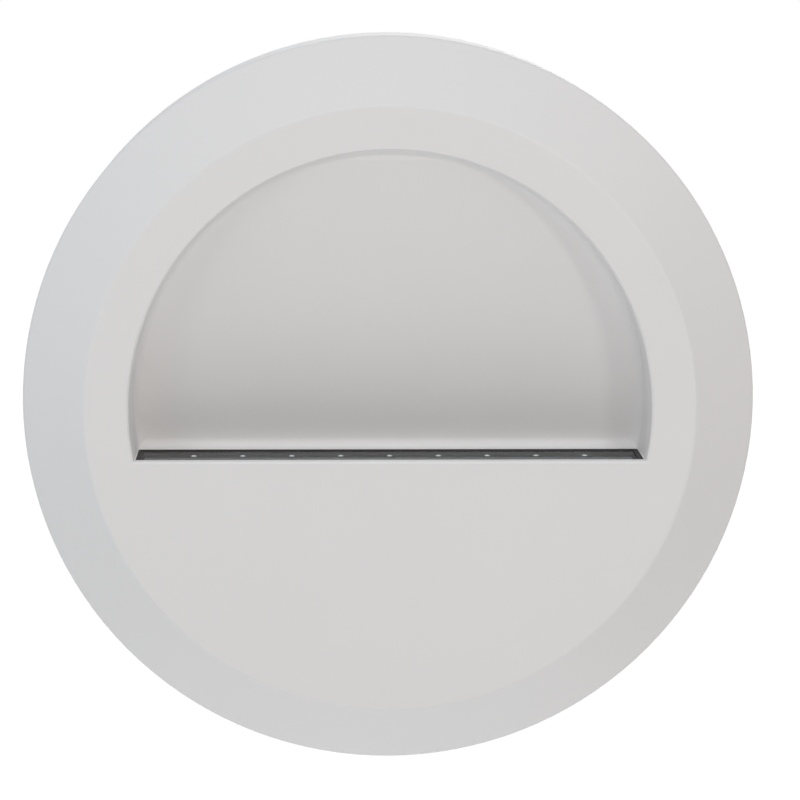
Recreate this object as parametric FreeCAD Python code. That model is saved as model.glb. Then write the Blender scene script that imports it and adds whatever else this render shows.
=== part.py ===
import FreeCAD, Part
import math
import os
from FreeCAD import Vector

os.makedirs("parts", exist_ok=True)

# Round surface-mounted step light. Every piece is modelled lying on its back: x to the right,
# y up the wall, z from the wall towards the viewer. save() then stands it up, so that in the
# finished part Z is up, the front faces -Y and the wall is the plane y = 0. All sizes in mm.

# Lamp housing: a die-cast dish with a bevelled rim and a sloping D-shaped recess
outer_diameter = 150.0
total_depth = 30.0            # wall to front face
side_depth = 18.0             # wall to where the bevel starts
bevel_width = 13.35           # from the rim to the flat face, seen from the front
cast_wall = 2.4
shadow_gap = 0.6              # between the wall and the housing's back edge
face_edge_round = 0.8
rim_edge_round = 1.2
back_edge_round = 0.5

# Recess, concentric with the face and closed below by a ledge that holds the window
face_border = 8.85            # flat ring left between the bevel and the recess
ledge_drop = 10.0             # ledge below the light's centre
recess_top_depth = 0.8
floor_lift = 12.5             # wall to the recess's floor where it meets the ledge
recess_draft = 1.0            # degrees
recess_round = 1.5            # between the floor and the walls
mouth_break = 0.35            # bevelled front edge of the recess
cut_over = 1.0                # how far a cutter stands out of what it cuts

# Window, dropped into a rebate in the ledge
window_lip = 2.5              # metal left in front of the window
window_back_strip = 3.2       # metal left behind it
window_thickness = 2.0
window_sink = 0.3             # below the ledge
window_end_gap = 0.15         # to the recess wall at each end
window_gap = 0.1
window_corner = 0.8
seal_thickness = 0.4
shelf_width = 1.2             # what the window rests on
shelf_thickness = 1.5

# Light source under the window
board_thickness = 1.6
board_end_inset = 1.0         # short of the window at each end
board_back_inset = 0.2        # short of the window at the back
led_count = 9
led_pitch = 10.0
led_length = 3.5
led_width = 2.8
led_height = 0.8
phosphor_radius = 1.05
phosphor_depth = 0.25
resistor_size = (3.2, 1.6, 0.55)
resistor_offset = 5.0
pad_thickness = 0.3
carrier_web = 2.7
carrier_flange = 2.0
carrier_flange_drop = 4.4
lead_bay = 3.9                # board left free of the carrier for its leads

# Seal rib, seal and set screws that hold the housing on its base
rib_overhang = 0.4            # past the base's rim
rib_thickness = 3.4
seal_height = 1.0
seal_inset = 0.3
set_screw_radius = 2.0
set_screw_length = 8.3
set_screw_height = 8.0
set_screw_travel_gap = 0.1    # tip to base rim when tight
set_screw_socket = 2.0        # across flats
set_screw_socket_depth = 2.5
set_screw_chamfer = 0.4
thread_clearance = 0.05
screw_pad_radius = 4.0
screw_pad_gap = 1.5           # to the base's rim
vent_rib_thickness = 1.6
vent_rib_angles = (35.0, 62.5, 90.0, 117.5, 145.0)
vent_rib_root = 5.65          # inside the edge of the face
vent_rib_lift = 4.0

# Base, screwed to the wall
gasket_thickness = 1.5
gasket_inset = 1.1
gasket_margin = 1.0           # round the slots and the grommet
base_plate_thickness = 2.0
base_clearance = 1.0          # to the inside of the housing
base_rim_setback = 5.6        # from the base's edge
base_rim_wall = 2.6
base_rim_top = 10.5           # above the wall
wall_slot_spacing = 92.0
wall_slot_length = 12.0
wall_slot_radius = 2.3
slot_pad_height = 0.8
slot_pad_margin = 3.0
drain_notch_width = 6.0
drain_notch_land = 2.0        # left outside the base's rim
weld = 0.5                    # how deep a raised feature is rooted

# Cable entry
cable_x = -20.0
cable_y = 4.0
plate_hole_radius = 7.0
grommet_flange_radius = 9.5
grommet_bore_radius = 3.5
grommet_top = 6.0
grommet_back = 0.2
grommet_flange = 1.2
grommet_edge = 0.6
grommet_neck_wall = 1.6

# Terminal block and earth point on the base
block_x = 18.0
block_y = 22.0
block_size = (26.0, 16.0, 10.3)
pole_count = 3
pole_pitch = 8.0
pole_height = 7.7             # above the wall, in line with the supply leads
clamp_radius = 2.4
clamp_length = 13.0
clamp_bore_radius = 1.4
clamp_screw_radius = 1.3
clamp_screw_inset = 3.2
block_screw_radius = 1.2
block_screw_head = 2.2
block_screw_head_height = 1.5
block_screw_bite = 1.5        # into the base
clamp_screw_relief = 0.5      # driver well round each clamp screw
clamp_screw_sink = 0.8        # below the top of the block
barrier_width = 1.0           # notches between the poles
barrier_depth = 2.0
block_corner = 1.0
earth_x = -22.0
earth_y = 26.0
earth_boss_radius = 4.0
earth_boss_height = 3.0
earth_screw_radius = 2.0
earth_head_radius = 3.8
earth_head_height = 2.4
earth_washer_thickness = 0.8
earth_washer_notches = 10
earth_washer_tooth = 0.8
blind_floor = 0.5             # metal left under a blind hole in the base

# Driver in the lower half of the housing
driver_width = 56.0
driver_height = 24.4
driver_top = -22.6
driver_back = 5.8
driver_front = 23.0
driver_wall = 1.6
driver_corner = 3.0
driver_lid_thickness = 1.4
lid_lip = 0.8
ear_reach = 6.5               # screw centre to the side of the driver
ear_drop = 14.9               # below the top of the driver
ear_radius = 4.0
ear_thickness = 2.4
driver_board_height = 10.5    # above the wall
driver_board_gap = 0.4
capacitor_radius = 3.5
capacitor_length = 14.0
capacitor_x = -21.0
capacitor_groove = 0.4
groove_width = 0.8
groove_place = 2.0
core_size = (16.0, 10.0, 8.0)
core_x = 5.0
core_leg = 2.5
core_yoke = 1.2
core_limb_radius = 2.6
coil_radius = 4.8
component_margin = 1.0
chip_sizes = ((6.0, 6.0, 2.6), (5.0, 5.0, 1.8), (4.0, 4.0, 1.6))
chip_columns = (-18.0, -9.5, -2.5)
chip_drop = 8.4               # centres below the top of the driver

# Fixings and leads inside
boss_radius = 3.5
case_screw_radius = 1.5
case_screw_length = 7.0
head_radius = 2.8
head_height = 2.0
drive_width = 0.8             # cross and slot in the screw heads
drive_depth = 1.0
carrier_boss_reach = 3.5      # screw centre past the end of the board
carrier_boss_y = -22.0
carrier_screw_radius = 1.5
carrier_screw_length = 8.0
fit_gap = 0.1                 # round fixed parts in their holes
case_gap = 0.05
supply_lead_radius = 0.9
led_lead_radius = 0.6
led_lead_height = 19.6        # above the wall
led_lead_spacing = 1.8
led_lead_y = -29.9            # where the pair enters the driver
led_lead_bend = 5.0
lead_end_gap = 0.3
bush_wall = 0.8
bush_flange = 0.8
bush_flange_thickness = 0.8

# Sizes that follow from the ones above
outer_radius = outer_diameter / 2
face_radius = outer_radius - bevel_width
recess_radius = face_radius - face_border
ledge_depth = total_depth - floor_lift
window_depth = ledge_depth - window_lip - window_back_strip
base_radius = outer_radius - cast_wall - base_clearance
base_rim_radius = base_radius - base_rim_setback
rib_outer_radius = base_rim_radius + rib_overhang
screw_pad_inner = base_rim_radius + screw_pad_gap
vent_rib_inner = face_radius - vent_rib_root
reach = outer_diameter        # longer than anything that is cut
floor_slope = (ledge_depth - recess_top_depth) / (recess_radius + ledge_drop)
bevel_angle = math.atan2(total_depth - side_depth, outer_radius - face_radius)
ledge_y = -ledge_drop
window_top = ledge_y - window_sink
window_bottom = window_top - window_thickness
shelf_top = window_bottom - seal_thickness
board_top = shelf_top - shelf_thickness
board_bottom = board_top - board_thickness
web_top = board_bottom - pad_thickness
web_bottom = web_top - carrier_web
face_back = total_depth - cast_wall
window_front = total_depth - window_lip
window_back = window_front - window_depth
opening_front = window_front - shelf_width
opening_back = window_back + shelf_width
board_front = face_back - fit_gap
board_back = window_back + board_back_inset
plate_top = gasket_thickness + base_plate_thickness
rib_bottom = base_rim_top + seal_height
flange_back = total_depth - ledge_depth
flange_front = flange_back + carrier_flange


def recess_radius_at(height):
    return recess_radius - (total_depth - height) * math.tan(math.radians(recess_draft))


def floor_height(y):
    return total_depth - ledge_depth + floor_slope * (y + ledge_drop)


window_half = math.sqrt(recess_radius_at(window_back) ** 2 - ledge_drop ** 2) - window_end_gap
opening_half = window_half - shelf_width
board_half = window_half - board_end_inset
carrier_left = -board_half + lead_bay
carrier_boss_x = board_half + carrier_boss_reach
driver_half = driver_width / 2
driver_bottom = driver_top - driver_height
ear_x = driver_half + ear_reach
ear_y = driver_top - ear_drop
ear_back = driver_front - ear_thickness - driver_wall
component_seat = driver_board_height + board_thickness


def box(x0, x1, y0, y1, z0, z1):
    return Part.makeBox(x1 - x0, y1 - y0, z1 - z0, Vector(x0, y0, z0))


def post(x, y, z0, z1, radius):
    return Part.makeCylinder(radius, z1 - z0, Vector(x, y, z0))


def rod(start, direction, length, radius):
    return Part.makeCylinder(radius, length, Vector(*start), Vector(*direction))


def ring(outer, inner, z0, z1):
    return post(0, 0, z0, z1, outer).cut(post(0, 0, z0, z1, inner))


def revolve(points):
    """A profile of (radius, height) points turned round the light's axis."""
    corners = [Vector(r, 0, z) for r, z in points]
    face = Part.Face(Part.makePolygon(corners + corners[:1]))
    return face.revolve(Vector(0, 0, 0), Vector(0, 0, 1), 360)


def rounded_box(x0, x1, y0, y1, z0, z1, radius):
    body = box(x0, x1, y0, y1, z0, z1)
    corners = [e for e in body.Edges if abs(e.tangentAt(e.FirstParameter).z) > 0.5]
    return body.makeFillet(radius, corners)


def slot(x, y, z0, z1, length, radius):
    """A round-ended slot along x."""
    half = length / 2 - radius
    ends = post(x - half, y, z0, z1, radius).fuse(post(x + half, y, z0, z1, radius))
    return ends.fuse(box(x - half, x + half, y - radius, y + radius, z0, z1)).removeSplitter()


def fuse_all(shapes):
    return shapes[0].multiFuse(shapes[1:]).removeSplitter()


def middle(edge):
    return edge.valueAt((edge.FirstParameter + edge.LastParameter) / 2)


def save(name, shape):
    """Stand the piece up and write it out. A list is a group of separate solids."""
    if isinstance(shape, list):
        shape = Part.makeCompound(shape)
    shape = shape.copy()
    shape.rotate(Vector(0, 0, 0), Vector(1, 0, 0), 90)
    shape.exportStep("parts/" + name + ".step")
    print(name, len(shape.Solids), round(shape.Volume, 1), shape.isValid())


# ---- lamp housing -------------------------------------------------------------------------

def rounded_corner(before, corner, after, radius):
    """The edges of a profile's corner rounded by an arc: start, middle and end of the arc."""
    to_before = (before - corner).normalize()
    to_after = (after - corner).normalize()
    half = to_before.getAngle(to_after) / 2
    bisector = (to_before + to_after).normalize()
    reach_back = radius / math.tan(half)
    centre = corner + bisector * (radius / math.sin(half))
    return (corner + to_before * reach_back, centre - bisector * radius,
            corner + to_after * reach_back)


def housing_outside():
    """The turned outside form, with its three edges rounded."""
    corners = [
        (0, shadow_gap, 0),
        (outer_radius, shadow_gap, back_edge_round),
        (outer_radius, side_depth, rim_edge_round),
        (face_radius, total_depth, face_edge_round),
        (0, total_depth, 0),
    ]
    points = [Vector(r, 0, z) for r, z, _ in corners]
    edges = []
    last = points[0]
    for number in range(1, len(corners) - 1):
        start, top, end = rounded_corner(points[number - 1], points[number], points[number + 1],
                                         corners[number][2])
        edges.append(Part.LineSegment(last, start).toShape())
        edges.append(Part.Arc(start, top, end).toShape())
        last = end
    edges.append(Part.LineSegment(last, points[-1]).toShape())
    edges.append(Part.LineSegment(points[-1], points[0]).toShape())
    profile = Part.Face(Part.Wire(edges))
    return profile.revolve(Vector(0, 0, 0), Vector(0, 0, 1), 360)


def housing_core(wall):
    """The space one wall thickness inside the outside form, open to the back."""
    slant = (outer_radius - face_radius) / (total_depth - side_depth)
    side_radius = outer_radius - wall
    corner_height = side_depth - wall * math.tan(bevel_angle / 2)
    front_height = total_depth - wall
    front_radius = side_radius - (front_height - corner_height) * slant
    return revolve([
        (0, shadow_gap - cut_over),
        (side_radius, shadow_gap - cut_over),
        (side_radius, corner_height),
        (front_radius, front_height),
        (0, front_height),
    ])


def recess_form(grow, ledge_grow, floor_grow, top):
    """The D: a drafted cone cut by the ledge plane and by the sloping floor."""
    low = floor_height(ledge_y) - max(floor_grow, cut_over)
    draft = math.tan(math.radians(recess_draft))
    wide = recess_radius + grow
    cone = Part.makeCone(
        wide - (total_depth - low) * draft,
        wide + (top - total_depth) * draft,
        top - low,
        Vector(0, 0, low),
    )
    cone.rotate(Vector(0, 0, 0), Vector(0, 0, 1), -90)
    y0 = ledge_y - ledge_grow
    y1 = recess_radius * 2
    drop = floor_grow * math.hypot(1, floor_slope)
    above = max(top, floor_height(y1)) + cast_wall
    side = [
        Vector(-reach, y0, floor_height(y0) - drop),
        Vector(-reach, y1, floor_height(y1) - drop),
        Vector(-reach, y1, above),
        Vector(-reach, y0, above),
    ]
    wedge = Part.Face(Part.makePolygon(side + side[:1])).extrude(Vector(2 * reach, 0, 0))
    return cone.common(wedge).Solids[0]


def recess_cut():
    """The recess with its floor blended into the round wall and the ledge."""
    form = recess_form(0, 0, 0, total_depth + cut_over)
    rims = []
    for edge in form.Edges:
        points = [middle(edge)] + [v.Point for v in edge.Vertexes]
        if all(abs(p.z - floor_height(p.y)) < 0.001 for p in points):
            rims.append(edge)
    return form.makeFillet(recess_round, rims)


def recess_mouth():
    """A 45 degree wedge that breaks the recess's front edge, so that it takes a line of light."""
    edge_height = total_depth - mouth_break
    back = edge_height - cut_over
    front = total_depth + cut_over
    cone = Part.makeCone(
        recess_radius + back - edge_height,
        recess_radius + front - edge_height,
        front - back,
        Vector(0, 0, back),
    )
    cone.rotate(Vector(0, 0, 0), Vector(0, 0, 1), -90)
    side = [
        Vector(-reach, ledge_y - back + edge_height, back),
        Vector(-reach, ledge_y - front + edge_height, front),
        Vector(-reach, recess_radius * 2, front),
        Vector(-reach, recess_radius * 2, back),
    ]
    wedge = Part.Face(Part.makePolygon(side + side[:1])).extrude(Vector(2 * reach, 0, 0))
    return cone.common(wedge)


def window_rebate():
    """What is cut from the ledge: a shallow seat for the window, then the way through."""
    seat = rounded_box(
        -window_half - window_gap, window_half + window_gap,
        shelf_top, ledge_y + recess_top_depth,
        window_back - window_gap, window_front, window_gap,
    )
    through = box(
        -opening_half, opening_half, board_top - fit_gap, shelf_top + fit_gap,
        opening_back, opening_front,
    )
    return seat.fuse(through)


def screw_hole(sign):
    start = (sign * base_rim_radius, 0, set_screw_height)
    return rod(start, (sign, 0, 0), outer_radius, set_screw_radius + thread_clearance)


def housing_bosses():
    """Screw bosses on the inside of the front wall, and the pads round the set screws."""
    bosses = []
    for sign in (-1, 1):
        bosses.append(post(sign * ear_x, ear_y, ear_back + ear_thickness, total_depth,
                           boss_radius))
        bosses.append(post(sign * carrier_boss_x, carrier_boss_y, flange_front, total_depth,
                           boss_radius))
        pad_start = (sign * screw_pad_inner, 0, set_screw_height)
        pad_length = outer_radius - screw_pad_inner
        bosses.append(rod(pad_start, (sign, 0, 0), pad_length, screw_pad_radius))
    return bosses


def housing_ribs():
    """The ring rib that presses on the seal, and stiffening ribs behind the bevel."""
    ribs = [ring(rib_outer_radius, rib_outer_radius - rib_thickness, rib_bottom, total_depth)]
    for angle in vent_rib_angles:
        rib = box(vent_rib_inner, outer_radius, -vent_rib_thickness / 2, vent_rib_thickness / 2,
                  rib_bottom + vent_rib_lift, total_depth)
        rib.rotate(Vector(0, 0, 0), Vector(0, 0, 1), angle)
        ribs.append(rib)
    return ribs


def front_housing():
    shell = housing_outside().cut(housing_core(cast_wall))
    rooted = housing_core(cast_wall / 2)
    pan = recess_form(cast_wall, ledge_y - board_top, cast_wall, total_depth)
    inner = [part.common(rooted) for part in [pan] + housing_bosses() + housing_ribs()]
    body = fuse_all([shell] + inner)
    body = body.cut(recess_cut()).cut(recess_mouth())
    body = body.cut(window_rebate())
    for sign in (-1, 1):
        body = body.cut(screw_hole(sign))
        body = body.cut(post(sign * ear_x, ear_y, 0, ear_back + case_screw_length + fit_gap,
                             case_screw_radius + case_gap))
        body = body.cut(post(sign * carrier_boss_x, carrier_boss_y, 0,
                             flange_back + carrier_screw_length + fit_gap,
                             carrier_screw_radius + case_gap))
    return body


# ---- window and light source --------------------------------------------------------------

def light_window():
    plate = box(-window_half, window_half, window_bottom, window_top,
                window_back, window_front - window_gap)
    corners = [e for e in plate.Edges if abs(e.tangentAt(e.FirstParameter).y) > 0.5]
    back_corners = [e for e in corners if middle(e).z < total_depth - window_depth]
    return plate.makeFillet(window_corner, back_corners)


def window_seal():
    """A flat frame of gasket between the window and its shelf."""
    frame = box(-window_half, window_half, shelf_top, window_bottom,
                window_back, window_front - window_gap)
    hole = box(-opening_half, opening_half, shelf_top, window_bottom,
               opening_back, opening_front)
    return frame.cut(hole)


def led_board():
    return box(-board_half, board_half, board_bottom, board_top,
               board_back, board_front)


def led_places():
    first = -(led_count - 1) / 2 * led_pitch
    return [first + number * led_pitch for number in range(led_count)]


def led_line():
    """Height above the wall of the row of LEDs: the middle of the opening."""
    return (opening_back + opening_front) / 2


def leds():
    chips = []
    for x in led_places():
        chip = box(x - led_length / 2, x + led_length / 2, board_top, board_top + led_height,
                   led_line() - led_width / 2, led_line() + led_width / 2)
        cup = rod((x, board_top + led_height - phosphor_depth, led_line()), (0, 1, 0),
                  led_height, phosphor_radius)
        chips.append(chip.cut(cup))
    return chips


def led_phosphors():
    bottom = board_top + led_height - phosphor_depth
    return [rod((x, bottom, led_line()), (0, 1, 0), phosphor_depth, phosphor_radius)
            for x in led_places()]


def chip_resistors():
    length, width, height = resistor_size
    return [box(x - length / 2, x + length / 2, board_top, board_top + height,
                led_line() - width / 2, led_line() + width / 2)
            for x in (-resistor_offset, resistor_offset)]


def thermal_pad():
    return box(carrier_left, board_half, web_top, board_bottom, board_back, board_front)


def led_carrier():
    """An angle of aluminium that presses the board against the ledge and takes its heat."""
    web = box(carrier_left, board_half, web_bottom, web_top, flange_back, board_front)
    tab_end = carrier_boss_x + ear_radius
    flange = box(-tab_end, tab_end, web_bottom - carrier_flange_drop, web_top,
                 flange_back, flange_front)
    middle_cut = box(-carrier_boss_x + ear_radius * 2, carrier_boss_x - ear_radius * 2,
                     web_bottom - carrier_flange_drop, web_bottom - carrier_flange,
                     flange_back, flange_front)
    body = fuse_all([web, flange]).cut(middle_cut)
    for sign in (-1, 1):
        body = body.cut(post(sign * carrier_boss_x, carrier_boss_y, flange_back, flange_front,
                             carrier_screw_radius + fit_gap))
    return body


def pan_screw(x, y, seat, length, radius):
    """A pan-head screw whose head stands towards the wall from seat."""
    shank = post(x, y, seat, seat + length, radius)
    head = post(x, y, seat - head_height, seat, head_radius)
    rim = [e for e in head.Edges if abs(middle(e).z - (seat - head_height)) < 0.001]
    head = head.makeFillet(head_height / 2, rim)
    cross = box(x - radius, x + radius, y - drive_width / 2, y + drive_width / 2,
                seat - head_height, seat - head_height + drive_depth)
    turned = cross.copy()
    turned.rotate(Vector(x, y, 0), Vector(0, 0, 1), 90)
    return head.fuse(shank).cut(cross).cut(turned)


def carrier_screws():
    return [pan_screw(sign * carrier_boss_x, carrier_boss_y, flange_back, carrier_screw_length,
                      carrier_screw_radius) for sign in (-1, 1)]


# ---- driver -------------------------------------------------------------------------------

def supply_lead_places():
    return [block_x, block_x + pole_pitch]


def supply_bush_radius():
    return supply_lead_radius + case_gap + bush_wall


def led_bush_form(start, length, radius):
    """A round-ended bar along -x round the pair of LED leads."""
    offset = led_lead_spacing / 2
    ends = [rod((start, led_lead_y + side * offset, led_lead_height), (-1, 0, 0), length, radius)
            for side in (-1, 1)]
    web = box(start - length, start, led_lead_y - offset, led_lead_y + offset,
              led_lead_height - radius, led_lead_height + radius)
    return fuse_all([web] + ends)


def driver_case():
    case = driver_block(0, driver_back, driver_front)
    inside = driver_block(driver_wall, driver_back, driver_front - driver_wall)
    ears = []
    for sign in (-1, 1):
        inner = sign * (driver_half - driver_wall / 2)
        outer = sign * ear_x
        ears.append(box(min(inner, outer), max(inner, outer), ear_y - ear_radius,
                        ear_y + ear_radius, ear_back, ear_back + ear_thickness))
        ears.append(post(outer, ear_y, ear_back, ear_back + ear_thickness, ear_radius))
    body = fuse_all([case] + ears).cut(inside)
    for sign in (-1, 1):
        body = body.cut(post(sign * ear_x, ear_y, 0, total_depth, case_screw_radius + fit_gap))
    for x in supply_lead_places():
        body = body.cut(rod((x, driver_top - driver_wall * 2, pole_height), (0, 1, 0),
                            driver_wall * 3, supply_bush_radius() + case_gap))
    led_hole = led_lead_radius + bush_wall + 2 * case_gap
    return body.cut(led_bush_form(-driver_half + 2 * driver_wall, driver_wall * 3, led_hole))


def driver_block(inset, z0, z1):
    """The driver's rounded outline, taken in by inset."""
    half = driver_half - inset
    return rounded_box(-half, half, driver_bottom + inset, driver_top - inset, z0, z1,
                       driver_corner - inset)


def driver_lid():
    """The lid on the driver's back, with a lip that drops inside the case."""
    plate = driver_block(0, driver_back - driver_lid_thickness, driver_back)
    edge = driver_wall + fit_gap
    lip = driver_block(edge, driver_back, driver_back + lid_lip)
    hollow = driver_block(edge + lid_lip, driver_back, driver_back + lid_lip)
    return plate.fuse(lip.cut(hollow))


def driver_board():
    """The driver's circuit board, short of the leads that come in along its top."""
    board = driver_block(driver_wall + driver_board_gap, driver_board_height, component_seat)
    lead_bay_front = driver_top - driver_wall - component_margin
    return board.cut(box(-reach, reach, lead_bay_front, driver_top, 0, total_depth))


def smoothing_capacitor():
    """An electrolytic can lying on its side, with its crimped groove."""
    height = component_seat + capacitor_radius
    y = driver_bottom + driver_wall + driver_board_gap + capacitor_radius + component_margin
    can = rod((capacitor_x, y, height), (1, 0, 0), capacitor_length, capacitor_radius)
    start = (capacitor_x + groove_place, y, height)
    groove = rod(start, (1, 0, 0), groove_width, capacitor_radius)
    core = rod(start, (1, 0, 0), groove_width, capacitor_radius - capacitor_groove)
    return can.cut(groove.cut(core))


def transformer_core():
    """A ferrite frame open on two sides, with a round limb for the winding."""
    length, width, height = core_size
    x, y = core_middle()
    z0 = component_seat
    half = length / 2
    frame = box(x - half, x + half, y - width / 2, y + width / 2, z0, z0 + height)
    hole = box(x - half + core_leg, x + half - core_leg, y - width / 2, y + width / 2,
               z0 + core_yoke, z0 + height - core_yoke)
    limb = post(x, y, z0, z0 + height, core_limb_radius)
    return frame.cut(hole).fuse(limb).removeSplitter()


def core_middle():
    return core_x + core_size[0] / 2, (driver_top + driver_bottom) / 2


def transformer_coil():
    x, y = core_middle()
    z0 = component_seat + core_yoke + case_gap
    z1 = component_seat + core_size[2] - core_yoke - case_gap
    bore = post(x, y, z0, z1, core_limb_radius + case_gap)
    return post(x, y, z0, z1, coil_radius).cut(bore)


def driver_chips():
    chips = []
    y = driver_top - chip_drop
    for (length, width, height), x in zip(chip_sizes, chip_columns):
        chips.append(box(x - length / 2, x + length / 2, y - width / 2, y + width / 2,
                         component_seat, component_seat + height))
    return chips


def driver_screws():
    return [pan_screw(sign * ear_x, ear_y, ear_back, case_screw_length, case_screw_radius)
            for sign in (-1, 1)]


def supply_leads():
    """Two leads from the driver to the mouths of the terminal block."""
    start = driver_top - driver_wall - bush_flange_thickness
    end = block_y - block_size[1] / 2 - lead_end_gap
    return [rod((x, start, pole_height), (0, 1, 0), end - start, supply_lead_radius)
            for x in supply_lead_places()]


def led_leads():
    """Two leads from the end of the LED board round to the side of the driver."""
    bay_middle = -board_half + lead_bay / 2
    inner_end = -driver_half + driver_wall + bush_flange_thickness
    leads = []
    for side in (-1, 1):
        offset = side * led_lead_spacing / 2
        x = bay_middle + offset
        y = led_lead_y + offset
        bend = led_lead_bend - offset
        turn = bend * (1 - math.sqrt(0.5))
        top = Vector(x, board_bottom, led_lead_height)
        arc_start = Vector(x, y + bend, led_lead_height)
        arc_middle = Vector(x + turn, y + turn, led_lead_height)
        arc_end = Vector(x + bend, y, led_lead_height)
        path = Part.Wire([
            Part.LineSegment(top, arc_start).toShape(),
            Part.Arc(arc_start, arc_middle, arc_end).toShape(),
            Part.LineSegment(arc_end, Vector(inner_end, y, led_lead_height)).toShape(),
        ])
        section = Part.Wire(Part.Circle(top, Vector(0, 1, 0), led_lead_radius).toShape())
        leads.append(path.makePipeShell([section], True, True))
    return leads


def flanged_bush(start, direction, bore, radius):
    """A rubber bush that lines a hole in the driver case, with a flange outside it."""
    along = Vector(*direction)
    base = Vector(*start)
    body = rod(base, along, driver_wall, radius)
    flange = rod(base + along * driver_wall, along, bush_flange_thickness, radius + bush_flange)
    length = driver_wall + bush_flange_thickness + 2 * cut_over
    hole = rod(base - along * cut_over, along, length, bore)
    return body.fuse(flange).cut(hole)


def led_bush():
    """One bush with two bores for the pair of LED leads."""
    start = -driver_half + driver_wall
    radius = led_lead_radius + case_gap + bush_wall
    body = led_bush_form(start, driver_wall, radius)
    flange = led_bush_form(start - driver_wall, bush_flange_thickness, radius + bush_flange)
    body = body.fuse(flange)
    length = driver_wall + bush_flange_thickness + 2 * cut_over
    for side in (-1, 1):
        y = led_lead_y + side * led_lead_spacing / 2
        body = body.cut(rod((start + cut_over, y, led_lead_height), (-1, 0, 0), length,
                            led_lead_radius + case_gap))
    return body


def lead_bushes():
    bushes = [flanged_bush((x, driver_top - driver_wall, pole_height), (0, 1, 0),
                           supply_lead_radius + case_gap, supply_bush_radius())
              for x in supply_lead_places()]
    return bushes + [led_bush()]


# ---- base ---------------------------------------------------------------------------------

def wall_slots(z0, z1, margin):
    return [slot(sign * wall_slot_spacing / 2, 0, z0, z1, wall_slot_length + 2 * margin,
                 wall_slot_radius + margin) for sign in (-1, 1)]


def wall_gasket():
    """A foam disc under the base, cut out for the screws and the cable."""
    body = post(0, 0, 0, gasket_thickness, base_radius - gasket_inset)
    for cutter in wall_slots(0, gasket_thickness, gasket_margin):
        body = body.cut(cutter)
    hole = post(cable_x, cable_y, 0, gasket_thickness, grommet_flange_radius + gasket_margin)
    return body.cut(hole)


def wall_plate():
    """The cast base: a flange, an upstanding rim, padded screw slots and an earth boss."""
    pieces = [post(0, 0, gasket_thickness, plate_top, base_radius)]
    root = plate_top - weld
    pieces.append(ring(base_rim_radius, base_rim_radius - base_rim_wall, root, base_rim_top))
    pieces += wall_slots(root, plate_top + slot_pad_height, slot_pad_margin)
    pieces.append(post(earth_x, earth_y, root, plate_top + earth_boss_height,
                       earth_boss_radius))
    body = fuse_all(pieces)
    for cutter in wall_slots(0, total_depth, 0):
        body = body.cut(cutter)
    body = body.cut(post(cable_x, cable_y, 0, total_depth, plate_hole_radius))
    body = body.cut(post(earth_x, earth_y, gasket_thickness + blind_floor, total_depth,
                         earth_screw_radius + case_gap))
    for x in block_screw_places():
        body = body.cut(post(x, block_y, plate_top - block_screw_bite, total_depth,
                             block_screw_radius + case_gap))
    drain = box(-drain_notch_width / 2, drain_notch_width / 2, -base_radius - cut_over,
                -base_rim_radius - drain_notch_land, 0, plate_top)
    return body.cut(drain)


def base_seal():
    """A flat silicone ring on the base's rim, pressed by the housing's rib."""
    outer = base_rim_radius - seal_inset
    inner = base_rim_radius - base_rim_wall + seal_inset
    return ring(outer, inner, base_rim_top, rib_bottom)


def cable_grommet():
    """A rubber grommet with a groove for the plate and a stepped cone in front."""
    radius = plate_hole_radius - fit_gap
    neck = grommet_bore_radius + grommet_neck_wall
    lip = plate_top + grommet_flange
    profile = [
        (grommet_bore_radius, grommet_back),
        (grommet_flange_radius, grommet_back),
        (grommet_flange_radius, gasket_thickness),
        (radius, gasket_thickness),
        (radius, plate_top),
        (grommet_flange_radius, plate_top),
        (grommet_flange_radius - grommet_edge, lip),
        (neck + grommet_edge, lip),
        (neck, grommet_top),
        (grommet_bore_radius, grommet_top),
    ]
    body = revolve(profile)
    body.translate(Vector(cable_x, cable_y, 0))
    return body


def pole_places():
    first = block_x - (pole_count - 1) / 2 * pole_pitch
    return [first + number * pole_pitch for number in range(pole_count)]


def clamp_screw_places():
    offset = clamp_length / 2 - clamp_screw_inset
    return [(x, block_y + side * offset) for x in pole_places() for side in (-1, 1)]


def terminal_block():
    length, width, height = block_size
    top = plate_top + height
    body = rounded_box(block_x - length / 2, block_x + length / 2, block_y - width / 2,
                       block_y + width / 2, plate_top, top, block_corner)
    for x in pole_places():
        body = body.cut(rod((x, block_y - width, pole_height), (0, 1, 0), width * 2,
                            clamp_radius + fit_gap))
    for x, y in clamp_screw_places():
        body = body.cut(post(x, y, pole_height, top, clamp_screw_radius + clamp_screw_relief))
    half_notch = barrier_width / 2
    for x in block_screw_places():
        body = body.cut(post(x, block_y, plate_top, top, block_screw_radius + fit_gap))
        for side in (-1, 1):
            middle_y = block_y + side * width / 2
            body = body.cut(box(x - half_notch, x + half_notch, middle_y - barrier_depth,
                                middle_y + barrier_depth, plate_top, top))
    return body


def block_screw_places():
    """The block is fixed down between its poles."""
    return [x + pole_pitch / 2 for x in pole_places()[:-1]]


def block_screws():
    top = plate_top + block_size[2]
    bottom = plate_top - block_screw_bite + case_gap
    screws = []
    for x in block_screw_places():
        shank = post(x, block_y, bottom, top, block_screw_radius)
        head = post(x, block_y, top, top + block_screw_head_height, block_screw_head)
        groove = box(x - block_screw_head, x + block_screw_head, block_y - drive_width / 2,
                     block_y + drive_width / 2, top + drive_depth / 2, top + block_screw_head_height)
        screws.append(head.cut(groove).fuse(shank))
    return screws


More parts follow.
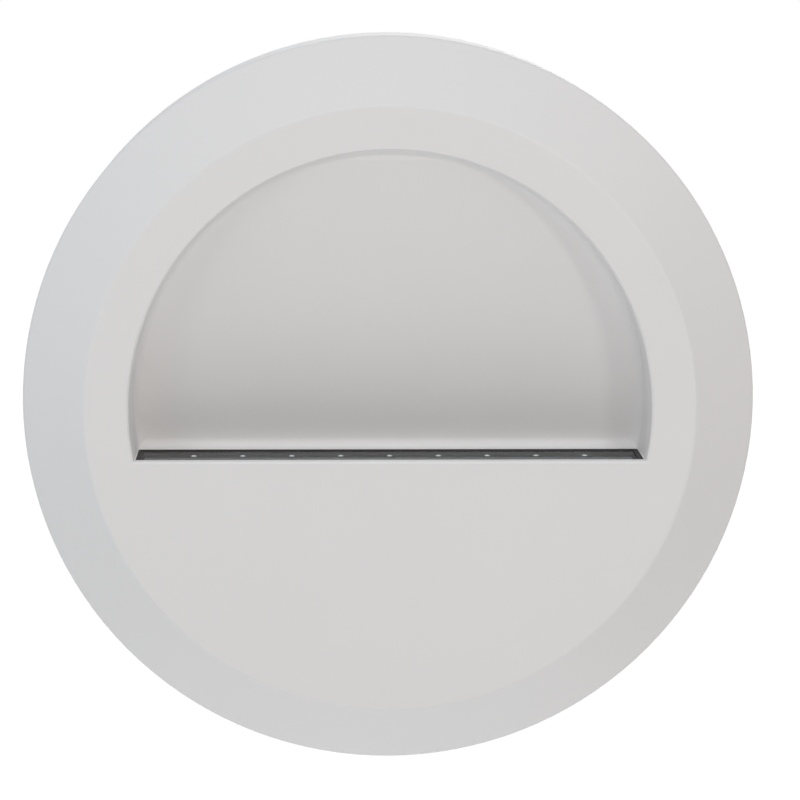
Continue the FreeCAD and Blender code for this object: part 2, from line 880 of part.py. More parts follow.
def terminal_clamps():
    clamps = []
    for x in pole_places():
        y0 = block_y - clamp_length / 2
        clamps.append(rod((x, y0, pole_height), (0, 1, 0), clamp_length, clamp_radius).cut(
            rod((x, y0, pole_height), (0, 1, 0), clamp_length, clamp_bore_radius)))
    for x, y in clamp_screw_places():
        number = pole_places().index(x)
        clamps[number] = clamps[number].cut(
            post(x, y, pole_height, pole_height + clamp_radius * 2, clamp_screw_radius + case_gap))
    return clamps


def terminal_screws():
    top = plate_top + block_size[2] - clamp_screw_sink
    screws = []
    for x, y in clamp_screw_places():
        screw = post(x, y, pole_height, top, clamp_screw_radius)
        groove = box(x - clamp_screw_radius, x + clamp_screw_radius, y - drive_width / 2,
                     y + drive_width / 2, top - drive_depth, top)
        screws.append(screw.cut(groove))
    return screws


def earth_screw():
    seat = plate_top + earth_boss_height + earth_washer_thickness
    top = seat + earth_head_height
    bottom = gasket_thickness + blind_floor + case_gap
    shank = post(earth_x, earth_y, bottom, seat, earth_screw_radius)
    head = post(earth_x, earth_y, seat, top, earth_head_radius)
    groove = box(earth_x - earth_head_radius, earth_x + earth_head_radius,
                 earth_y - drive_width / 2, earth_y + drive_width / 2, top - drive_depth, top)
    return shank.fuse(head.cut(groove))


def earth_washer():
    """A cupped washer with notches round its rim that bites through the coating."""
    bottom = plate_top + earth_boss_height
    top = bottom + earth_washer_thickness
    half_tooth = earth_washer_tooth / 2
    edge = earth_x + earth_boss_radius
    washer = post(earth_x, earth_y, bottom, top, earth_boss_radius)
    washer = washer.cut(post(earth_x, earth_y, bottom, top, earth_screw_radius + fit_gap))
    for number in range(earth_washer_notches):
        notch = box(edge - earth_washer_tooth, edge + cut_over, earth_y - half_tooth,
                    earth_y + half_tooth, bottom, top)
        turn = number * 360 / earth_washer_notches
        notch.rotate(Vector(earth_x, earth_y, 0), Vector(0, 0, 1), turn)
        washer = washer.cut(notch)
    return washer


# ---- set screws ---------------------------------------------------------------------------

def set_screw(sign):
    """A socket set screw whose tip closes on the base's rim."""
    tip = base_rim_radius + set_screw_travel_gap
    start = (sign * tip, 0, set_screw_height)
    body = rod(start, (sign, 0, 0), set_screw_length, set_screw_radius)
    ends = [e for e in body.Edges if isinstance(e.Curve, Part.Circle)]
    body = body.makeChamfer(set_screw_chamfer, ends)
    across = set_screw_socket / math.sqrt(3)
    corners = []
    for number in range(6):
        turn = math.radians(60 * number)
        corners.append(Vector(sign * (tip + set_screw_length), across * math.cos(turn),
                              set_screw_height + across * math.sin(turn)))
    socket = Part.Face(Part.makePolygon(corners + corners[:1]))
    return body.cut(socket.extrude(Vector(-sign * set_screw_socket_depth, 0, 0)))


# ---- write every piece --------------------------------------------------------------------

save("front_housing", front_housing())
save("light_window", light_window())
save("window_seal", window_seal())
save("led_board", led_board())
save("leds", leds())
save("led_phosphors", led_phosphors())
save("chip_resistors", chip_resistors())
save("thermal_pad", thermal_pad())
save("led_carrier", led_carrier())
save("carrier_screws", carrier_screws())
save("driver_case", driver_case())
save("driver_lid", driver_lid())
save("driver_board", driver_board())
save("smoothing_capacitor", smoothing_capacitor())
save("transformer_core", transformer_core())
save("transformer_coil", transformer_coil())
save("driver_chips", driver_chips())
save("driver_screws", driver_screws())
save("supply_leads", supply_leads())
save("led_leads", led_leads())
save("lead_bushes", lead_bushes())
save("wall_plate", wall_plate())
save("wall_gasket", wall_gasket())
save("base_seal", base_seal())
save("cable_grommet", cable_grommet())
save("terminal_block", terminal_block())
save("terminal_clamps", terminal_clamps())
save("terminal_screws", terminal_screws())
save("block_screws", block_screws())
save("earth_screw", earth_screw())
save("earth_washer", earth_washer())
save("set_screw_left", set_screw(-1))
save("set_screw_right", set_screw(1))
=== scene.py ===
import math
import bmesh
import bpy
import numpy as np
from mathutils import Matrix, Vector


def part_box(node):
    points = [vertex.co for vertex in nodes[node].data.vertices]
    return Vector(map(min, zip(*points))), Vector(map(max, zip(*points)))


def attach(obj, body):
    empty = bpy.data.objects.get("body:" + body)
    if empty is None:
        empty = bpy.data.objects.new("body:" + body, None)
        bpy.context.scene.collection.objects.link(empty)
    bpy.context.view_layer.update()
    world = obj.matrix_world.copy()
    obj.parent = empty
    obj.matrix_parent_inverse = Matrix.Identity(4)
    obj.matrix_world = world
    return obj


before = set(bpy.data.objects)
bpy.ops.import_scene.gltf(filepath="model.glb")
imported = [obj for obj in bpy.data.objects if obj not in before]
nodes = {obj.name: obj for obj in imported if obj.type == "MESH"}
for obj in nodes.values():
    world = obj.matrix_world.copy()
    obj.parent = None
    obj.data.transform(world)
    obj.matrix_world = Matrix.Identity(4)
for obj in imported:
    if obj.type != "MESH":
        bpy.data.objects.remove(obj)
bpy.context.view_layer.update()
scene = bpy.context.scene
print("frame loaded:", len(nodes), "nodes")

mm = 0.001  # the scene is in metres, and the sizes written below are in millimetres
white = (1.0, 1.0, 1.0, 1.0)


def toLinear(hexColour):
    # sRGB hex to the linear colour that Blender's sockets expect, by the sRGB curve
    parts = [int(hexColour[i:i + 2], 16) / 255 for i in (1, 3, 5)]
    return (*(c / 12.92 if c <= 0.04045 else ((c + 0.055) / 1.055) ** 2.4 for c in parts), 1.0)


def addNode(tree, kind, inputs=None, **settings):
    # Adds one node. Settings are its attributes. An input given as another node's output is
    # linked to it, and any other value is written on the socket.
    node = tree.nodes.new(kind)
    for name, value in settings.items():
        setattr(node, name, value)
    for name, value in (inputs or {}).items():
        if isinstance(value, bpy.types.NodeSocket):
            tree.links.new(value, node.inputs[name])
        else:
            node.inputs[name].default_value = value
    return node


def addObject(name, data):
    thing = bpy.data.objects.new(name, data)
    scene.collection.objects.link(thing)
    return thing


def startMaterial(name):
    material = bpy.data.materials.new(name)
    material.use_nodes = True
    tree = material.node_tree
    tree.nodes.clear()
    place = addNode(tree, "ShaderNodeTexCoord").outputs["Object"]
    return material, tree, place


def endMaterial(material, tree, shader):
    addNode(tree, "ShaderNodeOutputMaterial", {"Surface": shader.outputs[0]})
    return material


def dress(material, *names):
    for name in names:
        for slot in nodes[name].material_slots:
            slot.material = material


# What all the plain finishes share: how broken up their clouds and grain are, and how high the
# grain stands, as a share of its width
grainLook = {
    "cloudDetail": 3.0, "cloudRoughness": 0.55, "grainDetail": 2.0, "grainRoughness": 0.5,
    "rise": 0.2,
}


def grainMaterial(name, look):
    # A finish whose colour drifts between two shades in soft clouds, with a fine raised grain
    # and a roughness that follows the clouds. Clouds and grain have real sizes in mm.
    material, tree, place = startMaterial(name)
    clouds = addNode(tree, "ShaderNodeTexNoise", {
        "Vector": place, "Scale": 1 / (look["cloudMm"] * mm),
        "Detail": grainLook["cloudDetail"], "Roughness": grainLook["cloudRoughness"],
    }).outputs["Fac"]
    grain = addNode(tree, "ShaderNodeTexNoise", {
        "Vector": place, "Scale": 1 / (look["grainMm"] * mm),
        "Detail": grainLook["grainDetail"], "Roughness": grainLook["grainRoughness"],
    }).outputs["Fac"]
    colour = addNode(tree, "ShaderNodeMix", {
        "Factor": clouds, "A": toLinear(look["colour"]), "B": toLinear(look["shade"]),
    }, data_type="RGBA")
    rough = addNode(tree, "ShaderNodeMapRange", {
        "Value": clouds, "To Min": look["roughness"][0], "To Max": look["roughness"][1],
    })
    bump = addNode(tree, "ShaderNodeBump", {
        "Height": grain, "Strength": look["bump"],
        "Distance": look["grainMm"] * mm * grainLook["rise"],
    })
    shader = addNode(tree, "ShaderNodeBsdfPrincipled", {
        "Base Color": colour.outputs["Result"], "Roughness": rough.outputs["Result"],
        "Normal": bump.outputs["Normal"],
    })
    for key, socket in (("metallic", "Metallic"), ("ior", "IOR"), ("clear", "Transmission Weight")):
        if key in look:
            shader.inputs[socket].default_value = look[key]
    return endMaterial(material, tree, shader)


# Polyester powder coat, satin, baked on the die casting: a very fine orange peel under a soft
# sheen, about 0.6 mm from crest to crest. The base has it in grey, a little coarser.
whiteCoat = {
    "colour": "#EDECEC", "shade": "#EAE9E9", "cloudMm": 40, "grainMm": 0.6,
    "roughness": (0.58, 0.64), "bump": 0.18, "ior": 1.5,
}
greyCoat = dict(whiteCoat, colour="#8D9092", shade="#83868A", grainMm=0.8, bump=0.3)
# EPDM rubber, moulded: matt, nearly black, with a faint bloom
blackRubber = {
    "colour": "#1B1B1C", "shade": "#262627", "cloudMm": 6, "grainMm": 0.25,
    "roughness": (0.65, 0.8), "bump": 0.25, "ior": 1.52,
}
# Silicone, moulded grey for the base seal, with a dull sheen, and filled with ceramic powder
# for the thermal pad, which makes it darker and duller
silicone = dict(blackRubber, colour="#9A9C9C", shade="#8E9090", roughness=(0.45, 0.55), ior=1.43)
padGrey = dict(blackRubber, colour="#6E7378", shade="#666A70", roughness=(0.6, 0.7), ior=1.43)
# Glass-filled nylon, moulded with a fine spark-eroded texture: black for the driver's case, and
# left in its own cream for the terminal block
blackNylon = dict(blackRubber, colour="#202123", shade="#27282A", grainMm=0.35, bump=0.35,
                  roughness=(0.42, 0.52), ior=1.53)
naturalNylon = dict(blackNylon, colour="#D9D5C6", shade="#CFCAB8")
# Ferrite, pressed and sintered: dull grey-black with a fine sandy grain
ferrite = dict(blackRubber, colour="#3A3B3F", shade="#2F3034", grainMm=0.2, bump=0.4,
               roughness=(0.5, 0.65))
# Epoxy compound, moulded round chips and resistors: dull black, with the mould's fine texture
chipBlack = dict(blackRubber, colour="#1D1E20", shade="#232426", grainMm=0.12, bump=0.3,
                 roughness=(0.5, 0.6), ior=1.55)
# Polyphthalamide, moulded: the warm white, slightly satin body of an LED package
ledWhite = dict(blackRubber, colour="#E8E6DF", shade="#DEDBD2", grainMm=0.15, bump=0.2,
                roughness=(0.4, 0.5), ior=1.6)
# Yellow phosphor grains, poured in silicone: a grainy, rather glossy yellow
phosphor = dict(blackRubber, colour="#D9B23C", shade="#C79F2C", cloudMm=0.4, grainMm=0.06,
                bump=0.6, roughness=(0.35, 0.5), ior=1.43)
# PVC lead insulation, extruded: smooth and slightly glossy
redLead = dict(blackRubber, colour="#9E2B22", shade="#8C241C", roughness=(0.3, 0.4), bump=0.1)
blueLead = dict(redLead, colour="#2B4C8C", shade="#243F78")
# PVC sleeve, shrunk on the capacitor's can: smooth, glossy and plain
sleeve = dict(blackRubber, colour="#23262E", shade="#1C1F26", roughness=(0.25, 0.35), bump=0.05)
# Metals, whose colour is what they reflect. Zinc plate is bright, with faint cloudy patches,
# stainless steel is smoother and warmer, machined brass a soft yellow, and aluminium with its
# mill finish pale and dull.
zincSteel = {
    "colour": "#C9CBCB", "shade": "#B5B8B9", "cloudMm": 1.5, "grainMm": 0.15,
    "roughness": (0.28, 0.42), "bump": 0.15, "metallic": 1.0,
}
stainless = dict(zincSteel, colour="#B9B5AE", shade="#A9A59E", roughness=(0.22, 0.34))
brass = dict(zincSteel, colour="#C9A65A", shade="#B8934A", roughness=(0.25, 0.4))
aluminium = dict(zincSteel, colour="#D2D3D4", shade="#C0C2C4", cloudMm=3, roughness=(0.35, 0.5))

looks = (
    ("whitePowderCoat", whiteCoat, ("front_housing",)),
    ("greyPowderCoat", greyCoat, ("wall_plate",)),
    ("mouldedRubber", blackRubber, ("window_seal", "lead_bushes", "cable_grommet")),
    ("siliconeSeal", silicone, ("base_seal",)),
    ("thermalPad", padGrey, ("thermal_pad",)),
    ("blackNylon", blackNylon, ("driver_case", "driver_lid")),
    ("naturalNylon", naturalNylon, ("terminal_block",)),
    ("sinteredFerrite", ferrite, ("transformer_core",)),
    ("chipEpoxy", chipBlack, ("driver_chips", "chip_resistors")),
    ("ledPackage", ledWhite, ("leds",)),
    ("ledPhosphor", phosphor, ("led_phosphors",)),
    ("redInsulation", redLead, ("led_leads",)),
    ("blueInsulation", blueLead, ("supply_leads",)),
    ("capacitorSleeve", sleeve, ("smoothing_capacitor",)),
    ("zincPlatedSteel", zincSteel, ("carrier_screws", "driver_screws", "terminal_screws",
                                    "block_screws", "earth_washer")),
    ("stainlessSteel", stainless, ("set_screw_left", "set_screw_right")),
    ("machinedBrass", brass, ("terminal_clamps", "earth_screw")),
    ("millAluminium", aluminium, ("led_carrier",)),
)
for name, look, names in looks:
    dress(grainMaterial(name, look), *names)

# Closed-cell EPDM foam, split from a block: its cut cells are open, so it looks dull and finely
# pitted. The cells are about 0.5 mm across, drawn at 0.9 mm so that they show.
foam = {
    "colour": "#242426", "shade": "#4C4C50", "cellMm": 0.9, "pitMm": 0.25, "pitStrength": 0.7,
    "cloudMm": 14, "cloudDetail": 3.0, "roughness": 0.9, "ior": 1.5,
}
material, tree, place = startMaterial("closedCellFoam")
cells = addNode(tree, "ShaderNodeTexVoronoi", {
    "Vector": place, "Scale": 1 / (foam["cellMm"] * mm),
}).outputs["Distance"]
clouds = addNode(tree, "ShaderNodeTexNoise", {
    "Vector": place, "Scale": 1 / (foam["cloudMm"] * mm), "Detail": foam["cloudDetail"],
})
# Darker at the middle of each cell, where its pit sinks, and lighter towards the cell's rim, in soft
# cloudy patches
pitToRimTone = addNode(tree, "ShaderNodeMath", {0: cells, 1: clouds.outputs["Fac"]},
                operation="MULTIPLY")
colour = addNode(tree, "ShaderNodeMix", {
    "Factor": pitToRimTone.outputs[0], "A": toLinear(foam["colour"]), "B": toLinear(foam["shade"]),
}, data_type="RGBA")
bump = addNode(tree, "ShaderNodeBump", {
    "Height": cells, "Strength": foam["pitStrength"], "Distance": foam["pitMm"] * mm,
})
shader = addNode(tree, "ShaderNodeBsdfPrincipled", {
    "Base Color": colour.outputs["Result"], "Normal": bump.outputs["Normal"],
    "Roughness": foam["roughness"], "IOR": foam["ior"],
})
dress(endMaterial(material, tree, shader), "wall_gasket")

# Circuit boards: glossy solder mask over copper areas, with narrow gaps between them that show
# as darker lines, and over glass cloth, whose weave shows faintly through it
maskLook = {"clothMm": 0.5, "clothRiseMm": 0.02, "clothStrength": 0.2, "roughness": 0.3, "ior": 1.55}
boards = {
    "led_board": {"name": "blackSolderMask", "mask": "#26292C", "gap": "#14161A",
                  "weave": "#2E3235", "gapMm": 0.6, "pitchMm": 10.0},
    "driver_board": {"name": "greenSolderMask", "mask": "#1F5A3A", "gap": "#123822",
                     "weave": "#246845", "gapMm": 0.5, "pitchMm": 7.0},
}
gapShift = 100.0  # whole pitches, added so that the fraction is never taken of less than zero
gapMiddle = 0.5  # the share of each pitch at which its gap lies
for node, board in boards.items():
    material, tree, place = startMaterial(board["name"])
    cloth = addNode(tree, "ShaderNodeTexChecker", {
        "Vector": place, "Scale": 1 / (maskLook["clothMm"] * mm),
        "Color1": toLinear(board["mask"]), "Color2": toLinear(board["weave"]),
    })
    axes = addNode(tree, "ShaderNodeSeparateXYZ", {"Vector": place})
    steps = addNode(tree, "ShaderNodeMath", {0: axes.outputs["X"], 1: board["pitchMm"] * mm},
                    operation="DIVIDE")
    shifted = addNode(tree, "ShaderNodeMath", {0: steps.outputs[0], 1: gapShift}, operation="ADD")
    part = addNode(tree, "ShaderNodeMath", {0: shifted.outputs[0]}, operation="FRACT")
    gap = addNode(tree, "ShaderNodeMath", {
        0: part.outputs[0], 1: gapMiddle, 2: board["gapMm"] / board["pitchMm"] / 2,
    }, operation="COMPARE")
    colour = addNode(tree, "ShaderNodeMix", {
        "Factor": gap.outputs[0], "A": cloth.outputs["Color"], "B": toLinear(board["gap"]),
    }, data_type="RGBA")
    bump = addNode(tree, "ShaderNodeBump", {
        "Height": cloth.outputs["Fac"], "Strength": maskLook["clothStrength"],
        "Distance": maskLook["clothRiseMm"] * mm,
    })
    shader = addNode(tree, "ShaderNodeBsdfPrincipled", {
        "Base Color": colour.outputs["Result"], "Normal": bump.outputs["Normal"],
        "Roughness": maskLook["roughness"], "IOR": maskLook["ior"],
    })
    dress(endMaterial(material, tree, shader), node)

# Enamelled copper wire, wound in close turns about 0.4 mm apart up the bobbin: glossy orange
# ridges, with painted shade as dark lines in the grooves between them
winding = {
    # gap is painted shade: the colour of the grooves between turns, darker than the copper
    "colour": "#B5652C", "gap": "#6E3413", "turnMm": 0.4, "riseMm": 0.1, "strength": 0.8,
    "roughness": 0.3, "metallic": 1.0,
}
bandRepeat = math.pi / 10  # the wave texture's bands repeat at this distance where its scale is 1
material, tree, place = startMaterial("enamelledCopper")
turns = addNode(tree, "ShaderNodeTexWave", {
    "Vector": place, "Scale": bandRepeat / (winding["turnMm"] * mm),
}, bands_direction="Y").outputs["Fac"]
# The grooves between turns take the painted shade colour, and the ridges take the copper's own
colour = addNode(tree, "ShaderNodeMix", {
    "Factor": turns, "A": toLinear(winding["gap"]), "B": toLinear(winding["colour"]),
}, data_type="RGBA")
bump = addNode(tree, "ShaderNodeBump", {
    "Height": turns, "Strength": winding["strength"], "Distance": winding["riseMm"] * mm,
})
shader = addNode(tree, "ShaderNodeBsdfPrincipled", {
    "Base Color": colour.outputs["Result"], "Normal": bump.outputs["Normal"],
    "Roughness": winding["roughness"], "Metallic": winding["metallic"],
})
dress(endMaterial(material, tree, shader), "transformer_coil")

# Clear polycarbonate, moulded, with the faint waves of its flow, over a dark inside.
# Polycarbonate's own index is 1.58. It is matched far lower here, because the photographed
# window hardly mirrors the recess at all although it is seen at a low angle.
window = {
    "tint": "#C4CACC", "roughness": 0.05, "ior": 1.08, "clear": 1.0, "flowMm": 12,
    "flowDetail": 2.0, "flowRiseMm": 0.05, "flowStrength": 0.2,
}
material, tree, place = startMaterial("clearPolycarbonate")
flow = addNode(tree, "ShaderNodeTexNoise", {
    "Vector": place, "Scale": 1 / (window["flowMm"] * mm), "Detail": window["flowDetail"],
})
bump = addNode(tree, "ShaderNodeBump", {
    "Height": flow.outputs["Fac"], "Strength": window["flowStrength"],
    "Distance": window["flowRiseMm"] * mm,
})
shader = addNode(tree, "ShaderNodeBsdfPrincipled", {
    "Base Color": toLinear(window["tint"]), "Normal": bump.outputs["Normal"],
    "Roughness": window["roughness"], "IOR": window["ior"],
    "Transmission Weight": window["clear"],
})
dress(endMaterial(material, tree, shader), "light_window")
print("materials made:", len(bpy.data.materials))

mergeMm = 0.0005  # points closer than this are one point


def makePiece(name, grids, material):
    # Joins grids of points into one mesh. Each grid is rows by columns by x, y, z in mm, and its
    # neighbouring points make quads. Repeated points are merged, which closes seams and poles.
    points, quads, first = [], [], 0
    for grid in grids:
        rows, columns = grid.shape[:2]
        index = first + np.arange(rows * columns).reshape(rows, columns)
        quads.append(np.stack([index[:-1, :-1], index[1:, :-1], index[1:, 1:], index[:-1, 1:]],
                              axis=-1).reshape(-1, 4))
        points.append(grid.reshape(-1, 3))
        first += rows * columns
    mesh = bpy.data.meshes.new(name)
    mesh.from_pydata((np.concatenate(points) * mm).tolist(), [], np.concatenate(quads).tolist())
    work = bmesh.new()
    work.from_mesh(mesh)
    bmesh.ops.remove_doubles(work, verts=work.verts, dist=mergeMm * mm)
    bmesh.ops.recalc_face_normals(work, faces=work.faces)
    work.to_mesh(mesh)
    work.free()
    mesh.shade_smooth()
    mesh.materials.append(material)
    piece = addObject(name, mesh)
    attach(piece, "lamp")


def boxMm(name):
    low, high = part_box(name)
    return np.array(low) / mm, np.array(high) / mm


# Black silicone, laid as a bead that seals the window in its seat: dull black. It fills the joint
# round the window and stands up the wall of the seat in a small hollow fillet, which shows as a
# thin black line. The bead is partly a real seal and partly painted shade: its black skin under
# the window's rim stands in for the shade in the slot below the window.
bead = {
    "over": 1.2, "skin": 0.06, "rise": 0.27, "endGap": 0.14, "frontGap": 0.09, "backGap": -0.01,
    "cornerBack": 0.8, "cornerFront": 0.3, "steps": 9, "curve": 8,
    # Its black is partly the sealant's own colour and partly painted shade for the slot below the
    # window
    "colour": "#101011", "shade": "#1A1A1B", "cloudMm": 5, "grainMm": 0.3,
    "roughness": (0.5, 0.6), "bump": 0.1, "ior": 1.43,
}
windowLow, windowHigh = boxMm("light_window")


def beadGrid():
    # The path is a rectangle with rounded corners: a point on the arc of each corner, at angle a,
    # lies at the corner's centre plus the radius left there times (cos a, sin a), and where no
    # radius is left, on the corner's diagonal. The profile, as inward distance and height, runs
    # down a hollow quarter curve, under the window's rim and up again.
    angle = (np.arange(4)[:, None] + np.linspace(0, 1, bead["steps"])[None, :]) * math.pi / 2
    angle = angle.ravel()
    across, along = np.cos(angle), np.sin(angle)
    quarter = np.repeat(np.array([[1, 1], [-1, 1], [-1, -1], [1, -1]]), bead["steps"], axis=0)
    corner = np.where(quarter[:, 1] > 0, bead["cornerBack"], bead["cornerFront"])
    east, north = windowHigh[0] + bead["endGap"], windowHigh[1] + bead["backGap"]
    south = windowLow[1] - bead["frontGap"]
    centreX = quarter[:, 0] * (east - corner)
    centreY = np.where(quarter[:, 1] > 0, north - corner, south + corner)
    top, under = windowHigh[2], windowLow[2] + bead["skin"]
    turn = np.linspace(0, math.pi / 2, bead["curve"])
    inward = np.concatenate([bead["over"] * (1 - np.cos(turn)), [bead["skin"]] * 2, [0, 0]])
    height = np.concatenate([
        top + bead["rise"] * (1 - np.sin(turn)),
        [top - bead["skin"], under, under, top + bead["rise"]],
    ])
    radius = np.clip(corner[:, None] - inward[None, :], 0, None)
    past = np.clip(inward[None, :] - corner[:, None], 0, None)
    grid = np.stack([
        centreX[:, None] + across[:, None] * radius - quarter[:, :1] * past,
        centreY[:, None] + along[:, None] * radius - quarter[:, 1:] * past,
        np.broadcast_to(height, radius.shape),
    ], axis=-1)
    return np.concatenate([grid, grid[:1]])


# The bead's black material: sealant, and painted shade inside the window's slot
sealantAndPaintedShade = grainMaterial("blackSealantAndPaintedShade", bead)
makePiece("window_sealant_and_shade", [beadGrid()], sealantAndPaintedShade)


def domeGrid(centre, radius, rise, rings=8, sides=24):
    # A shallow dome on a flat underside: at angle a and share t of the way out, the radius is
    # radius times t and the height is rise times (1 - t squared). The last ring closes the base.
    turn = np.linspace(0, 2 * math.pi, sides + 1)
    share = np.linspace(0, 1, rings)
    out = np.concatenate([share, [0.0]])[:, None] * radius
    lift = np.concatenate([rise * (1 - share ** 2), [0.0]])[:, None]
    return np.stack([
        centre[0] + out * np.cos(turn),
        centre[1] + out * np.sin(turn),
        centre[2] + np.broadcast_to(lift, (rings + 1, sides + 1)),
    ], axis=-1)


# Middles of the LEDs, from the box round their row
sources = {"count": 9, "length": 3.5}
ledLow, ledHigh = boxMm("leds")
halfLength = sources["length"] / 2
ledMiddles = np.linspace(ledLow[0] + halfLength, ledHigh[0] - halfLength, sources["count"])
ledRow = (ledLow[1] + ledHigh[1]) / 2

# Clear silicone, dropped on each LED: glossy, with a faint warm tint
drops = {
    "radius": 1.15, "rise": 0.85, "sunk": 0.03,
    "colour": "#F8F4E6", "shade": "#F3EDD8", "cloudMm": 1, "grainMm": 0.2,
    "roughness": (0.04, 0.08), "bump": 0.05, "ior": 1.41, "clear": 1.0,
}
dropFoot = ledHigh[2] - drops["sunk"]
dropGrids = [domeGrid((x, ledRow, dropFoot), drops["radius"], drops["rise"]) for x in ledMiddles]
makePiece("led_drops", dropGrids, grainMaterial("clearSilicone", drops))

# Polycarbonate pips, moulded on the window above each LED. They are drawn pale and opaque as
# painted glints, so that they show as small light specks over the dark inside.
pips = {
    "radius": 0.6, "rise": 0.22, "sunk": 0.01,
    # The pale colour is a painted glint, not the clear polycarbonate's own colour
    "colour": "#E9EDEE", "shade": "#DCE1E4", "cloudMm": 1, "grainMm": 0.3,
    "roughness": (0.2, 0.3), "bump": 0.05, "ior": 1.58,
}
pipFoot = windowHigh[2] - pips["sunk"]
pipGrids = [domeGrid((x, ledRow, pipFoot), pips["radius"], pips["rise"]) for x in ledMiddles]
makePiece("window_pips", pipGrids, grainMaterial("pipsPaintedGlint", pips))


def filletGrid(x, y, z, outward, width, reach, rise, steps=6):
    # A solder fillet: a hollow quarter curve from the top of the part's end down to the board,
    # taken across the part's width. At share s of the way from its middle to a side it is scaled
    # by the square root of (1 - s to the fourth), so it closes to nothing at both sides.
    turn = np.linspace(0, math.pi / 2, steps)
    away = np.concatenate([reach * (1 - np.cos(turn)), [0.0, 0.0]])
    lift = np.concatenate([rise * (1 - np.sin(turn)), [0.0, rise]])
    side = np.linspace(-1, 1, 2 * steps + 1)
    full = np.sqrt(np.clip(1 - side ** 4, 0, 1))
    return np.stack([
        x + outward * full[:, None] * away[None, :],
        np.broadcast_to((y + side * width / 2)[:, None], (len(side), len(away))),
        z + full[:, None] * lift[None, :],
    ], axis=-1)


# Tin solder, reflowed on both ends of every LED and resistor: bright, a little grainy
solder = {
    "reach": 0.45, "ledWidth": 2.4, "ledRise": 0.5, "resistorWidth": 1.5, "resistorRise": 0.45,
    "resistorHalf": 1.6, "resistorAt": (-5.0, 5.0),
    "colour": "#D8DADC", "shade": "#B9BCC0", "cloudMm": 0.6, "grainMm": 0.12,
    "roughness": (0.2, 0.35), "bump": 0.2, "metallic": 1.0,
}
boardTop = ledLow[2]
fillets = []
for side in (-1, 1):
    fillets += [filletGrid(x + side * halfLength, ledRow, boardTop, side, solder["ledWidth"],
                           solder["reach"], solder["ledRise"]) for x in ledMiddles]
    fillets += [filletGrid(x + side * solder["resistorHalf"], ledRow, boardTop, side,
                           solder["resistorWidth"], solder["reach"], solder["resistorRise"])
                for x in solder["resistorAt"]]
makePiece("solder_fillets", fillets, grainMaterial("reflowedSolder", solder))
print("pieces made: sealant, drops, pips and", len(fillets), "solder fillets")

# The camera stands at the photograph's angle, a little above and to the left
view = {
    "target": (2.29, -15.0, 0.18), "azimuth": 1.77, "elevation": 9.48, "roll": 0.23,
    "distance": 597.8, "lens": 130.4, "sensor": 36.0, "near": 10,
}
az, el, roll = (math.radians(view[key]) for key in ("azimuth", "elevation", "roll"))
target = Vector(view["target"]) * mm
away = Vector((-math.sin(az) * math.cos(el), -math.cos(az) * math.cos(el), math.sin(el)))
eye = target + away * view["distance"] * mm
right = (-away).cross(Vector((0, 0, 1))).normalized()
up = right.cross(-away)
turned = right * math.cos(roll) + up * math.sin(roll)
raised = up * math.cos(roll) - right * math.sin(roll)
camera = addObject("camera", bpy.data.cameras.new("camera"))
camera.data.lens = view["lens"]
camera.data.sensor_width = view["sensor"]
camera.data.clip_start = view["near"] * mm
camera.matrix_world = Matrix((
    (turned.x, raised.x, away.x, eye.x),
    (turned.y, raised.y, away.y, eye.y),
    (turned.z, raised.z, away.z, eye.z),
    (0, 0, 0, 1),
))
scene.camera = camera
scene.view_settings.view_transform = "Standard"

# Round lamps, all aimed at the middle of the light, with their place and diameter in mm: two at
# the upper corners that show the bevel, and large soft ones on every side
lamps = {
    "upperRight": {"at": (319, -669, 510), "size": 150, "watts": 0.82, "colour": "#FFFDF8"},
    "upperLeft": {"at": (-473, -636, 426), "size": 320, "watts": 0.52, "colour": "#F2FAFF"},
    "front": {"at": (0, -900, 100), "size": 500, "watts": 1.23, "colour": "#FFF8F1"},
    "above": {"at": (0, -260, 700), "size": 500, "watts": 0.95, "colour": "#F2F7FF"},
    "left": {"at": (-700, -120, 60), "size": 500, "watts": 0.66, "colour": "#E6F4FF"},
    "right": {"at": (700, -120, 60), "size": 500, "watts": 0.36, "colour": "#FFEFE8"},
    "below": {"at": (0, -90, -440), "size": 400, "watts": 0.28, "colour": "#F5FAFF"},
    "behind": {"at": (150, 700, 250), "size": 500, "watts": 1.3, "colour": "#FFFFFF"},
}
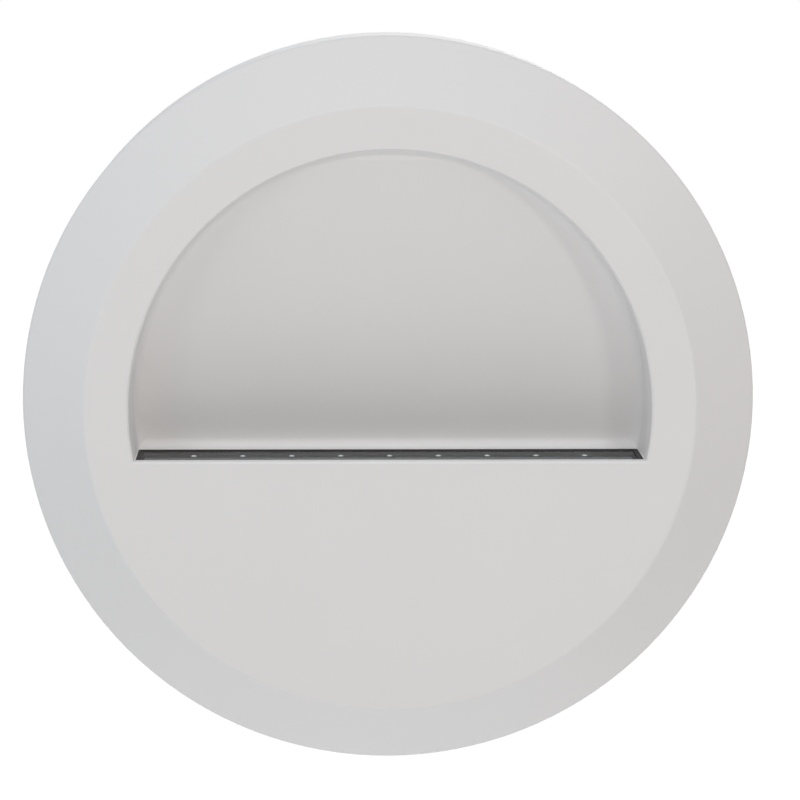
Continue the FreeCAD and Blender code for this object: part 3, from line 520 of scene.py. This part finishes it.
for name, lamp in lamps.items():
    light = addObject(name, bpy.data.lights.new(name, "AREA"))
    light.data.shape = "DISK"
    light.data.size = lamp["size"] * mm
    light.data.energy = lamp["watts"]
    light.data.color = toLinear(lamp["colour"])[:3]
    light.location = Vector(lamp["at"]) * mm
    light.rotation_euler = (target - light.location).to_track_quat("-Z", "Y").to_euler()


def whiteRays(tree):
    # 1 for rays from the camera, a reflection or glass, which see white, and 0 for soft light
    rays = addNode(tree, "ShaderNodeLightPath").outputs
    seen = addNode(tree, "ShaderNodeMath", {0: rays["Is Camera Ray"], 1: rays["Is Glossy Ray"]},
                   operation="MAXIMUM").outputs[0]
    return addNode(tree, "ShaderNodeMath", {0: seen, 1: rays["Is Transmission Ray"]},
                   operation="MAXIMUM").outputs[0]


# Soft light from all round, and a white background, which is a strength of 1
room = {"colour": "#FAFAFA", "strength": 0.385}
world = bpy.data.worlds.new("room")
scene.world = world
world.use_nodes = True
tree = world.node_tree
tree.nodes.clear()
soft = addNode(tree, "ShaderNodeBackground", {
    "Color": toLinear(room["colour"]), "Strength": room["strength"],
})
plain = addNode(tree, "ShaderNodeBackground", {"Color": white, "Strength": 1.0})
both = addNode(tree, "ShaderNodeMixShader", {
    0: whiteRays(tree), 1: soft.outputs[0], 2: plain.outputs[0],
})
addNode(tree, "ShaderNodeOutputWorld", {"Surface": both.outputs[0]})

# A floor of pale plaster, well below the light, which hangs on a wall. It glows only for the
# rays that see white, and little enough to keep the object's shadow.
ground = {"height": -500, "half": 4000, "colour": "#F2F2F2", "glow": 0.7}
half = ground["half"] * mm
z = ground["height"] * mm
floorMesh = bpy.data.meshes.new("floor")
floorMesh.from_pydata([(-half, -half, z), (half, -half, z), (half, half, z), (-half, half, z)],
                      [], [(0, 1, 2, 3)])
floor = addObject("floor", floorMesh)
material, tree, _ = startMaterial("palePlaster")
pale = addNode(tree, "ShaderNodeBsdfDiffuse", {"Color": toLinear(ground["colour"])})
level = addNode(tree, "ShaderNodeMath", {0: whiteRays(tree), 1: ground["glow"]},
                operation="MULTIPLY")
glow = addNode(tree, "ShaderNodeEmission", {"Color": white, "Strength": level.outputs[0]})
total = addNode(tree, "ShaderNodeAddShader", {0: pale.outputs[0], 1: glow.outputs[0]})
floorMesh.materials.append(endMaterial(material, tree, total))
print("camera, lamps and floor set")
